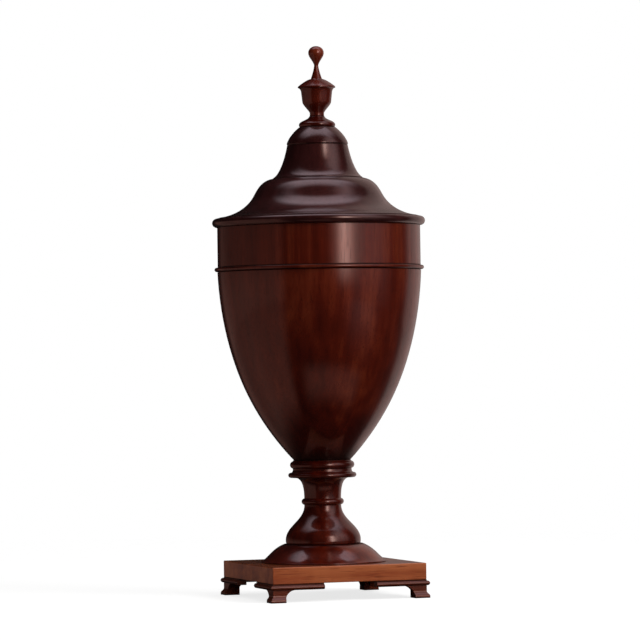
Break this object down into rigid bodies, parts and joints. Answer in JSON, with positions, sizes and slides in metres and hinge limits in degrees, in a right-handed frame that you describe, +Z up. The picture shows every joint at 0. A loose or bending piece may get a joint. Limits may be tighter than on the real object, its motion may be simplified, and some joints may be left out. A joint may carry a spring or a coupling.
{
  "type": "knife urn",
  "caption": "Lidded turned wooden urn on a square footed stand; the lid rises on a square stem over stepped tiers pierced for table cutlery.",
  "frame": {"origin": "bottom centre of the square stand, on the surface the feet rest on", "axes": "+Z up along the urn's axis, -Y towards the front of the stand"},
  "size_m": [0.235, 0.235, 0.607],
  "materials": {
    "stand": "French-polished mahogany, orange-brown",
    "vase": "French-polished mahogany, dark red-brown",
    "lid": "French-polished mahogany, dark and slightly purple",
    "interior": "plain mahogany, waxed",
    "stringing": "boxwood line, polished",
    "brass": "aged brass",
    "steel": "filed steel, dulled"
  },
  "bodies": {
    "body": {"plinth_slab": "stand", "bracket_foot_front_left": "stand", "bracket_foot_front_right": "stand", "bracket_foot_rear_right": "stand", "bracket_foot_rear_left": "stand", "spreading_foot": "vase", "socle_stem": "vase", "socle_collar": "vase", "bowl": "vase", "astragal_bead": "vase", "frieze_band": "vase", "corner_blocks": "interior", "outer_tier_board": "interior", "middle_tier_board": "interior", "inner_tier_board": "interior", "middle_riser": "interior", "inner_riser": "interior", "guide_block": "interior", "tier_stringing": "stringing", "guide_plate": "brass", "guide_plate_screws": "brass", "fixing_washer": "steel", "fixing_screw": "steel"},
    "lid": {"lid_rim": "lid", "lid_shoulder": "lid", "lid_bell": "lid", "lid_cap": "lid", "finial_ring": "lid", "finial": "lid", "locating_ring": "interior", "head_plate": "interior", "lid_stem": "interior", "head_plate_screws": "brass", "stop_plate": "brass", "stop_screw": "brass", "catch_pin": "steel", "catch_spring": "steel", "catch_spring_screw": "steel"},
    "catch": {"spring_catch": "steel"}
  },
  "joints": [
    {"name": "lid_lift", "type": "slide", "parent": "body", "child": "lid", "axis": [0, 0, 1], "range_m": [0, 0.18]},
    {"name": "catch_swing", "type": "hinge", "parent": "lid", "child": "catch", "pos_m": [0, -0.0043, 0.2243], "axis": [-1, 0, 0], "range_deg": [0, 12], "stiffness_Nm_per_rad": 0.05, "springref_deg": 12.03}
  ]
}
